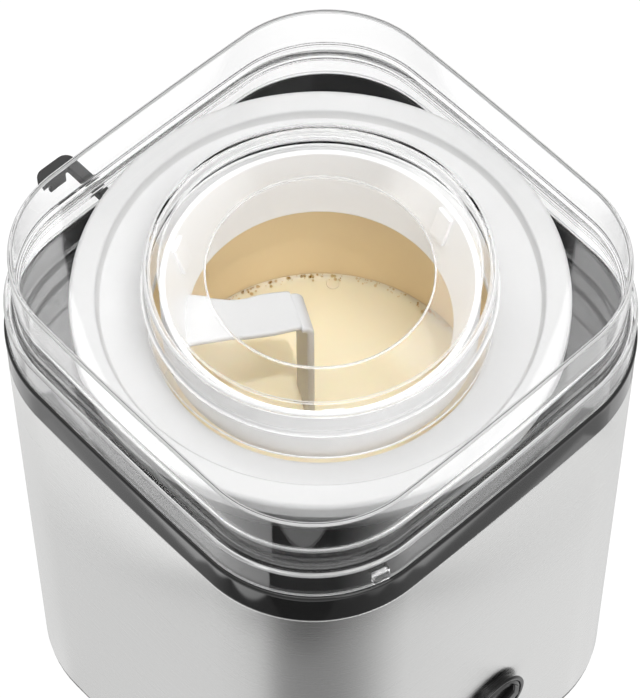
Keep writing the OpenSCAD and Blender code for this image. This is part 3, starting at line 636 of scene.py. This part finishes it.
reach = mouth - paddle["scraperGap"]
inward = reach - paddle["scraperWidth"]
wing, scraper = paddle["wingHeight"], paddle["scraperHeight"]
topCut, rootCut = 3, 2       # bevels at the scrapers' tops and where they rise from the blade
bladeOutline = [(-reach, 0), (reach, 0), (reach, scraper), (inward + topCut, scraper),
                (inward, scraper - topCut), (inward, wing + rootCut), (inward - rootCut, wing),
                (-inward + rootCut, wing), (-inward, wing + rootCut), (-inward, scraper - topCut),
                (-inward - topCut, scraper), (-reach, scraper)]
addPlate("paddleBlade", bladeOutline, (0, axisY, bladeLow), (*side, 0), (0, 0, 1),
         paddle["blade"], paddle["bladeBevel"], "paddle", "white_gloss", [], armPaintedShade)

# three lugs on the collar's cone, where the lid's tube takes hold of the paddle
lugs = {"turns": (119.0, 232.0, 350.0), "width": 8.0, "height": 14.0, "depth": 2.2,
        "bevel": 0.5, "z": 19.0, "radius": 54.6, "lean": 0.262}
for k, turn in enumerate(lugs["turns"]):
    a = math.radians(turn)
    outward = np.array([math.cos(a), math.sin(a), 0])
    rising = outward * math.sin(lugs["lean"]) + np.array([0, 0, math.cos(lugs["lean"])])
    place = np.array([0, axisY, deckZ + lugs["z"]]) + outward * lugs["radius"]
    addPlate("collarLug" + str(k), oblong(lugs["width"], lugs["height"]), place,
             (-math.sin(a), math.cos(a), 0), rising, lugs["depth"], lugs["bevel"],
             "paddle", "white_gloss")
print("paddle made")


lid = {
    "wall": 1.8, "tubeWall": 1.3,
    "lift": 0.3,             # gap under the skirt
    "skirt": 15.0, "skirtInset": 1.0, "upperInset": 4.7,
    "plate": 23.5, "tube": 65.0, "tubeTop": 37.5, "tubeFoot": 7.0,
    "tubeRim": 5.5, "fill": 42.0, "fillDrop": 4.5,
}
t, base, lidTop = lid["wall"], deckZ + lid["lift"], lidHigh[2]
outerSkirt, outerWall = half - lid["skirtInset"], half - lid["upperInset"]
tube, tubeTop, tubeIn = lid["tube"], base + lid["tubeTop"], lid["tube"] - lid["tubeWall"]
funnel = tube - lid["tubeRim"]
lidCorners = [      # x, z, fillet, weight, share of painted edge highlight
    (outerSkirt, base, 0.8, 0, 0.85), (outerSkirt, base + lid["skirt"], 1.1, 0, 0.4),
    (outerWall, base + lid["skirt"], 0.8, 0, 0.1), (outerWall, lidTop, 0.8, 0, 0.75),
    (outerWall - t, lidTop, 0.7, 0, 0.6),
    (outerWall - t, base + lid["plate"] + t, 1.6, 0, 0),
    (tube, base + lid["plate"] + t, 1.2, 1, 0.7), (tube, tubeTop, 1.0, 1, 0.95),
    (funnel, tubeTop, 1.2, 1, 0.5), (lid["fill"], tubeTop - lid["fillDrop"] + 1, 0.6, 1, 0.4),
    (lid["fill"], tubeTop - lid["fillDrop"] - 0.8, 0.6, 1, 0.4), (funnel, tubeTop - 2, 1.2, 1, 0.5),
    (tubeIn, tubeTop - 2, 1.2, 1, 0.5), (tubeIn, base + lid["tubeFoot"], 0.3, 1, 1),
    (tube, base + lid["tubeFoot"], 0.3, 1, 1), (tube, base + lid["plate"], 1.0, 1, 0.7),
    (outerWall - t, base + lid["plate"], 1.4, 0, 0),
    (outerWall - t, base + lid["skirt"] - t, 0.8, 0, 0),
    (outerSkirt - t, base + lid["skirt"] - t, 1.0, 0, 0), (outerSkirt - t, base, 0.5, 0, 0.3)]
lidSection = softProfile([corner[:4] for corner in lidCorners])
lidMesh = meshFromGrids("clearLid", [(carriedRound(lidSection, bodyOutline), True, True)])
# each corner has a leading point, an arc and a trailing point; only the arc carries the painted
# edge highlight
perCorner = len(lidSection) // len(lidCorners)
alongArc = np.ones(perCorner)
alongArc[[0, -1]] = 0
edgeHighlightShare = np.outer([corner[4] for corner in lidCorners], alongArc).ravel()
edgeHighlightLayer = lidMesh.attributes.new("edge", "FLOAT", "POINT")
edgeHighlightLayer.data.foreach_set("value", np.repeat(edgeHighlightShare, len(bodyOutline[0])))
addPiece("clearLid", lidMesh, "lid", "clear_moulding", ["lid"])

# a block that locks the lid, standing out of the skirt near the front corner
lock = {"turn": 254.0, "width": 7.0, "height": 6.2, "depth": 2.4, "z": 7.3, "sunk": 0.3,
        "bevel": 0.8}
lockAngle = math.radians(lock["turn"])
lockOut = np.array([math.cos(lockAngle), math.sin(lockAngle), 0])
lockReach = outerSkirt - body["cornerCentre"] - body["bow"] + lock["depth"] / 2 - lock["sunk"]
lockPlace = np.array([-body["cornerCentre"], axisY - body["cornerCentre"], base + lock["z"]])
addPlate("lidLock", oblong(lock["width"], lock["height"]), lockPlace + lockOut * lockReach,
         (-lockOut[1], lockOut[0], 0), (0, 0, 1), lock["depth"], lock["bevel"],
         "lid", "clear_moulding")
print("lid made")


def facing(profile, faceY, centreZ, sign=-1, steps=96):
    # a closed section (distance from the axis, distance out of the face) turned about an
    # axis along Y; sign -1 faces the front
    a = np.linspace(0, 2 * math.pi, steps, endpoint=False)[None, :]
    radius, out = profile[:, 0][:, None], profile[:, 1][:, None]
    x = -sign * radius * np.cos(a)
    y = faceY + sign * out + a * 0
    z = centreZ + radius * np.sin(a)
    return np.stack([x, y, z], axis=2)


bezelLow, bezelHigh = cornersOf("control_bezel")
knobLow, knobHigh = cornersOf("control_knob")
frontY = sleeveLow[1]
control = {
    "height": (bezelLow[2] + bezelHigh[2]) / 2,
    "bezel": (bezelHigh[0] - bezelLow[0]) / 2,
    "bezelDepth": frontY - bezelLow[1],
    "knob": (knobHigh[0] - knobLow[0]) / 2,
    "knobFace": 2.9, "knobStep": 0.6, "knobRecess": 2.0, "knobGap": 0.3,
    "flange": 1.3,           # thickness of the bezel's outer ring
    "bezelFloor": 1.0, "bezelFoot": 2.0, "neck": 8.0,
    "sunk": 0.2,             # how far the bezel reaches into the sleeve
    "grip": 6.0, "gripEnd": 1.4, "gripBevel": 1.2, "gripReach": frontY - knobLow[1],
    "gripTurn": 59.0,        # degrees from upright, to the right of the front
    "gripSlope": (2.5, 1.5),     # the cut at each end of the grip's face: in along it, and down
}
knobBack = control["bezelDepth"] - control["knobRecess"]
bezelOut, bezelIn = control["bezel"] - control["bezelFoot"], control["knob"] + control["knobGap"]
bezelBack, sunk = control["bezelDepth"] - control["flange"], -control["sunk"]
bezelSection = softProfile([
    (bezelOut, sunk, 0.1), (bezelOut, bezelBack, 0.2),
    (control["bezel"], bezelBack, 0.4), (control["bezel"], control["bezelDepth"], 0.5),
    (bezelIn, control["bezelDepth"], 0.4), (bezelIn, control["bezelFloor"], 0.2),
    (control["neck"], control["bezelFloor"], 0.2), (control["neck"], sunk, 0.1)])
addGrids("controlBezel", [(facing(bezelSection, frontY, control["height"]), True, True)],
         "machine", "black_gloss", ["control_bezel"])

knobFace, knobFront = control["knobFace"], control["knobFace"] + control["knobStep"]
knobSection = softProfile([
    (control["knob"], knobBack, 0.3), (control["knob"], knobFace, 0.5),
    (control["knob"] - 2, knobFront, 0.5), (pole / 2, knobFront, 0.0),
    (pole / 2, knobBack, 0.0)])
addGrids("controlKnob", [(facing(knobSection, frontY, control["height"]), True, True)],
         "knob", "black_gloss", ["control_knob"])
gripTop, gripHalf = control["gripReach"] - knobFace, control["knob"] - control["gripEnd"]
gripAngle, (cutIn, cutDown) = math.radians(control["gripTurn"]), control["gripSlope"]
addPlate("knobGrip", [
    (-gripHalf, 0), (gripHalf, 0), (gripHalf, gripTop - cutDown), (gripHalf - cutIn, gripTop),
    (-gripHalf + cutIn, gripTop), (-gripHalf, gripTop - cutDown)],
    (0, frontY - knobFace, control["height"]), (math.sin(gripAngle), 0, math.cos(gripAngle)),
    (0, -1, 0), control["grip"], control["gripBevel"], "knob", "black_gloss")

hook = {
    "trim": 1.2, "shorter": 1.0,     # how much slimmer than the solid, along X and Y
    "plate": 5.0, "bar": 4.4, "corner": 4.4, "stem": 4.6, "bevel": 1.2,
    "lip": 2.0, "lipInset": 1.2, "lipDrop": 1.5, "lipBevel": 0.6,
}
hookLow, hookHigh = cornersOf("cord_hook")
hookLow = hookLow + np.array([hook["trim"], 0, 0])
hookHigh = hookHigh - np.array([hook["trim"], hook["shorter"], 0])
hookLength, hookReach = hookHigh[0] - hookLow[0], hookHigh[1] - hookLow[1]
hookFinish = mouldedPlastic("mattBlackAbs", "#151515", 0.55)
stemX, barY = hookLength - hook["stem"], hookReach - hook["bar"]
q = np.linspace(0, math.pi / 2, 8)
cornerX, cornerY = hook["corner"] * (1 - np.sin(q)), hook["corner"] * (1 - np.cos(q))
hookOutline = np.concatenate([
    [(stemX, 0), (hookLength, 0)],
    np.stack([hookLength - cornerX[::-1], hookReach - cornerY[::-1]], 1),
    np.stack([cornerX, hookReach - cornerY], 1), [(0, barY), (stemX, barY)]])
addPlate("cordHook", hookOutline, (hookLow[0], hookLow[1], hookHigh[2] - hook["plate"] / 2),
         (1, 0, 0), (0, 1, 0), hook["plate"], hook["bevel"],
         "machine", "black_moulding", ["cord_hook"], hookFinish)
lipHeight = hookHigh[2] - hookLow[2] - hook["lipDrop"]
for lipName, lipStart, lipEnd, lipY in (
        ("cordHookLip", hook["corner"], hookLength - hook["corner"],
         hookHigh[1] - hook["lipInset"] - hook["lip"] / 2),
        ("cordHookRoot", stemX, hookLength, hookLow[1] + hook["lip"] / 2)):
    addPlate(lipName, [(lipStart, 0), (lipEnd, 0), (lipEnd, lipHeight), (lipStart, lipHeight)],
             (hookLow[0], lipY, hookLow[2]), (1, 0, 0), (0, 0, 1), hook["lip"],
             hook["lipBevel"], "machine", "black_moulding", [], hookFinish)

glandLow, glandHigh = cornersOf("cord_gland")
backY, glandZ = sleeveHigh[1], (glandLow[2] + glandHigh[2]) / 2
glandOut = glandHigh[1] - backY
gland = {"bore": 3.6, "barrel": 6.5, "nose": 5.4, "flange": 10.0}
glandSection = softProfile([
    (gland["bore"], -3.0, 0.2), (gland["barrel"], -3.0, 0.2), (gland["barrel"], -1.2, 0.1),
    (gland["flange"], -1.2, 0.1), (gland["flange"], 2.0, 0.8), (gland["barrel"], 2.6, 1.0),
    (gland["nose"], glandOut, 0.8), (gland["bore"], glandOut, 0.6)])
addGrids("cordGland", [(facing(glandSection, backY, glandZ, 1), True, True)],
         "machine", "black_moulding", ["cord_gland"])

feetLow, feetHigh = cornersOf("rubber_feet")
foot = {"radius": 9.0, "height": 2.5, "peg": 3.0}
footX, footY = feetHigh[0] - foot["radius"], (feetHigh[1] - feetLow[1]) / 2 - foot["radius"]
footSection = softProfile([
    (foot["radius"], 0, 0.5), (foot["radius"], foot["height"], 0.3),
    (foot["peg"], foot["height"], 0.3), (foot["peg"], feetHigh[2], 0.5),
    (pole / 2, feetHigh[2], 0.0), (pole / 2, 0, 0.0)])
footRing = carriedRound(footSection, roundTurn(48))
addGrids("rubberFeet", [(footRing + np.array([sx * footX, sy * footY, 0]), True, True)
                        for sx in (-1, 1) for sy in (-1, 1)],
         "machine", "foot_rubber", ["rubber_feet"])
print("control, hook, gland and feet made")


view = {      # millimetres and degrees, but the roll is in radians
    "target": (-6.3, axisY - 6.5, deckZ - 5.6), "distance": 1271.9,
    "azimuth": -42.821, "elevation": 56.928, "roll": -0.0036, "lens": 174.95, "lower": 0.0012,
}
azimuth, elevation = math.radians(view["azimuth"]), math.radians(view["elevation"])
toCamera = Vector((math.sin(azimuth) * math.cos(elevation),
                   -math.cos(azimuth) * math.cos(elevation), math.sin(elevation)))
right = (-toCamera).cross(Vector((0, 0, 1))).normalized()
up = right.cross(-toCamera)
cameraX = math.cos(view["roll"]) * right + math.sin(view["roll"]) * up
cameraUp = -math.sin(view["roll"]) * right + math.cos(view["roll"]) * up
camera = bpy.data.objects.new("camera", bpy.data.cameras.new("camera"))
camera.data.lens = view["lens"]
camera.data.shift_y = view["lower"]
camera.data.clip_start, camera.data.clip_end = 0.05, 50
target = Vector(view["target"])
camera.matrix_world = Matrix.Translation((target + toCamera * view["distance"]) * mm) @ Matrix(
    (cameraX, cameraUp, toCamera)).transposed().to_4x4()
scene.collection.objects.link(camera)
scene.camera = camera

stage = {
    "floorColor": "#E8E8E8", "floorSeen": 1.12, "floorShade": 0.12, "floorInMirror": 0.8,
    "skyDiffuse": 0.48, "skySeen": 1.12, "skyInMirror": 0.5,
}


def seenStraight(tree):
    # 1 for what the camera sees, also through the lid: camera rays, and rays through the lid
    # that haven't left a dull surface first, so that the stage adds no light under the lid
    rays = addNode(tree, "ShaderNodeLightPath")
    sharp = addNode(tree, "ShaderNodeMath", {1: 0.5}, {0: rays.outputs["Diffuse Depth"]},
                    operation="LESS_THAN")
    through = addNode(tree, "ShaderNodeMath", links={
        0: rays.outputs["Is Transmission Ray"], 1: sharp.outputs[0]}, operation="MULTIPLY")
    either = addNode(tree, "ShaderNodeMath", links={
        0: rays.outputs["Is Camera Ray"], 1: through.outputs[0]}, operation="MAXIMUM")
    return either.outputs[0]


floorFinish, tree, shader, end = newFinish("paleFloor", {
    "Base Color": hexColor(stage["floorColor"]), "Roughness": 0.9, "Specular IOR Level": 0.1})
seenFloor = addNode(tree, "ShaderNodeEmission", {"Strength": stage["floorSeen"]})
shaded = addNode(tree, "ShaderNodeMixShader", {0: 1 - stage["floorShade"]},
                 {1: shader.outputs[0], 2: seenFloor.outputs[0]})
mirrored = addNode(tree, "ShaderNodeEmission", {"Strength": stage["floorInMirror"]})
rays = addNode(tree, "ShaderNodeLightPath")
either = addNode(tree, "ShaderNodeMixShader", links={
    0: rays.outputs["Is Glossy Ray"], 1: shader.outputs[0], 2: mirrored.outputs[0]})
# a ray through the lid counts as a mirror ray too, so this choice comes last
visible = addNode(tree, "ShaderNodeMixShader", links={
    0: seenStraight(tree),
    1: either.outputs[0], 2: shaded.outputs[0]})
tree.links.new(visible.outputs[0], end.inputs["Surface"])
floorReach, floorDrop = 3000, 0.05     # out from the middle, and how far under the feet
floorMesh = bpy.data.meshes.new("floor")
floorMesh.from_pydata([(x * floorReach * mm, y * floorReach * mm, -floorDrop * mm)
                       for x, y in ((-1, -1), (1, -1), (1, 1), (-1, 1))], [], [(0, 1, 2, 3)])
floorMesh.materials.append(floorFinish)
floor = bpy.data.objects.new("floor", floorMesh)
scene.collection.objects.link(floor)


def mirrorCard(name, points, tones, rows, seenThrough=True):
    # a glowing card that only mirror rays see, and with seenThrough also rays through the
    # lid: columns of points in millimetres, `rows` to a column, each with its own brightness
    columns = len(points) // rows
    mesh = bpy.data.meshes.new(name)
    mesh.from_pydata([tuple(float(v) * mm for v in p) for p in points], [], [
        (c * rows + r, c * rows + r + 1, (c + 1) * rows + r + 1, (c + 1) * rows + r)
        for c in range(columns - 1) for r in range(rows - 1)])
    tone = mesh.attributes.new("tone", "FLOAT", "POINT")
    tone.data.foreach_set("value", tones)
    finish = bpy.data.materials.new(name)
    finish.use_nodes = True
    tree = finish.node_tree
    tree.nodes.clear()
    toneNode = addNode(tree, "ShaderNodeAttribute", attribute_name="tone")
    glow = addNode(tree, "ShaderNodeEmission", links={"Strength": toneNode.outputs["Fac"]})
    addNode(tree, "ShaderNodeOutputMaterial", links={"Surface": glow.outputs[0]})
    mesh.materials.append(finish)
    piece = bpy.data.objects.new(name, mesh)
    piece.visible_camera = piece.visible_diffuse = piece.visible_shadow = False
    piece.visible_transmission = seenThrough
    scene.collection.objects.link(piece)


cameraPlace = np.array(target + toCamera * view["distance"])
cardLift = 0.5     # height of the skirting and the strips over the floor


def mirroredFloor(turn, along, heights):
    # where the camera, looking at the body's side at these heights, sees the floor mirrored;
    # turn is the side's outward direction and along the place along a flat side
    a = math.radians(turn)
    out = np.array([math.cos(a), math.sin(a), 0])
    c = body["cornerCentre"]
    cornerX = -c if turn <= 270 else c
    cornerY = -c if turn >= 180 else c
    if turn == 270:
        cornerX += along
    if turn == 180:
        cornerY += along
    spots = []
    for height in heights:
        spot = np.array([cornerX, cornerY + axisY, height]) + out * (half - c)
        sight = spot - cameraPlace
        sight = sight - 2 * sight.dot(out) * out
        spots.append(spot + sight * (height - cardLift) / -sight[2])
    return spots


# on the floor round the front of the body: each column belongs to a place on the body's side
# and each row to a height on it, the steel's first, then the black band's and the lid's
skirting = {
    "steel": (4, 70, 140, bandLow - 1.5), "band": (bandLow + 0.5, deckZ - 1),
    "lid": (deckZ + 1.5, deckZ + 50),
    "columns": [      # turn, along the flat side, and the tones of steel, band and lid
        (172, 0, 0.90, 0.9, 1.5), (180, 94, 0.78, 0.7, 1.5), (180, 0, 0.80, 0.35, 1.4),
        (192, 0, 0.79, 0.12, 1.4), (208.8, 0, 0.78, 0.10, 1.3), (209.0, 0, 0.27, 0.10, 0.03),
        (236, 0, 0.29, 0.10, 0.03), (246, 0, 0.42, 0.14, 0.3), (258, 0, 0.76, 0.22, 0.8),
        (270, 0, 0.88, 0.30, 1.2), (270, 94, 0.90, 0.45, 1.3), (278, 0, 1.0, 0.7, 1.4)],
}
levels = [skirting[part] for part in ("steel", "band", "lid")]
heights = sum(levels, ())
points, tones = [], []
for turn, along, *partTones in skirting["columns"]:
    points += mirroredFloor(turn, along, heights)
    tones += np.repeat(partTones, [len(part) for part in levels]).tolist()
mirrorCard("skirtingCard", points, tones, len(heights))

# behind the body, for the narrow strips at the steel's two outer edges; (turn, tone)
stripHeights = (4, 110, deckZ + 20)
for name, strips in {
        "leftStrip": [(140, 1.0), (151, 1.0), (152.5, 0.62), (154.5, 0.62), (156, 0.84),
                      (172, 0.9)],
        "rightStrip": [(278, 0.9), (297, 0.86), (299, 0.56), (302, 0.56), (304, 1.1),
                       (314, 1.15)]}.items():
    points, tones = [], []
    for turn, tone in strips:
        points += mirroredFloor(turn, 0, stripHeights)
        tones += [tone] * len(stripHeights)
    mirrorCard(name, points, tones, len(stripHeights), seenThrough=False)

# overhead, where level surfaces mirror the camera: bright all round a dark oval, which shows
# as the black middle of the deck between its grey corners
away = Vector((-toCamera.x, -toCamera.y, toCamera.z))
ceiling = {
    "distance": 2200, "oval": (265, 345), "drop": -133, "left": 5.4, "right": 3.6,
    "sides": (0.42, 0.72),       # share of the cosine where the sides begin and are full
    "crossing": 3,               # how sharply the left side's glow gives way to the right's
    "dark": 0.03, "steps": 97,
    "rows": [(0.0, 0), (0.985, 0), (1.0, 1), (2.2, 1), (5.0, 0.3)],
}
overUp = right.cross(away).normalized()
overUp = overUp if overUp.z > 0 else -overUp
middle = target + away * ceiling["distance"] + overUp * ceiling["drop"]
points, tones = [], []
for a in np.linspace(0, 2 * math.pi, ceiling["steps"]):
    glowing = (ceiling["right"] + ceiling["left"]) / 2 + (
        ceiling["right"] - ceiling["left"]) / 2 * math.tanh(ceiling["crossing"] * math.cos(a))
    sideways = np.clip((abs(math.cos(a)) - ceiling["sides"][0])
                       / (ceiling["sides"][1] - ceiling["sides"][0]), 0, 1)
    glowing *= sideways ** 2 * (3 - 2 * sideways)
    for spread, share in ceiling["rows"]:
        points.append(middle + right * spread * ceiling["oval"][0] * math.cos(a)
                      + overUp * spread * ceiling["oval"][1] * math.sin(a))
        tones.append(ceiling["dark"] + share * glowing)
mirrorCard("ceilingCard", points, tones, len(ceiling["rows"]))

world = bpy.data.worlds.new("studio")
scene.world = world
world.use_nodes = True
tree = world.node_tree
tree.nodes.clear()
rays = addNode(tree, "ShaderNodeLightPath")
unseen = addNode(tree, "ShaderNodeMapRange", {
    "To Min": stage["skyDiffuse"], "To Max": stage["skyInMirror"]},
    {"Value": rays.outputs["Is Glossy Ray"]})
level = addNode(tree, "ShaderNodeMix", {"B": stage["skySeen"]}, {
    "Factor": seenStraight(tree), "A": unseen.outputs[0]})
sky = addNode(tree, "ShaderNodeBackground", {"Color": (1, 1, 1, 1)},
              {"Strength": level.outputs[0]})
addNode(tree, "ShaderNodeOutputWorld", links={"Surface": sky.outputs[0]})


def hangLamp(lamp, aim, direction, distance):
    # a lamp that far from the point it lights, in millimetres, shining back at it
    way = Vector(direction).normalized()
    holder = bpy.data.objects.new(lamp.name, lamp)
    holder.location = (aim + way * distance) * mm
    holder.rotation_euler = (-way).to_track_quat("-Z", "Y").to_euler()
    scene.collection.objects.link(holder)


boxDistance = 2200
boxes = {      # direction towards the soft box, length of its sides, power in watts
    "keyBox": ((-0.04, -0.08, 0.996), 1200, 9.5),
    "frontBox": ((-0.10, -0.70, 0.70), 1000, 11.5),
}
for name, (direction, size, power) in boxes.items():
    box = bpy.data.lights.new(name, "AREA")
    box.shape, box.size, box.size_y, box.energy = "RECTANGLE", size * mm, size * mm, power
    hangLamp(box, target, direction, boxDistance)

# a snoot that shines into the bowl past the rim, so that the mix is as bright as the rim
snoot = {"direction": (-0.14, -0.28, 0.95), "distance": 1500, "beam": 4.4, "edge": 0.5,
         "radius": 30, "power": 27, "belowDeck": 20}
beam = bpy.data.lights.new("snoot", "SPOT")
beam.energy, beam.spot_size, beam.spot_blend = (
    snoot["power"], math.radians(snoot["beam"]), snoot["edge"])
beam.shadow_soft_size = snoot["radius"] * mm
hangLamp(beam, Vector((0, axisY, deckZ - snoot["belowDeck"])), snoot["direction"],
         snoot["distance"])

scene.view_settings.view_transform = "Standard"
bounces = 16       # enough for a ray to pass all of the lid's walls
scene.cycles.max_bounces = bounces
scene.cycles.transmission_bounces = bounces
scene.cycles.transparent_max_bounces = bounces
print("camera, floor and lamps set")
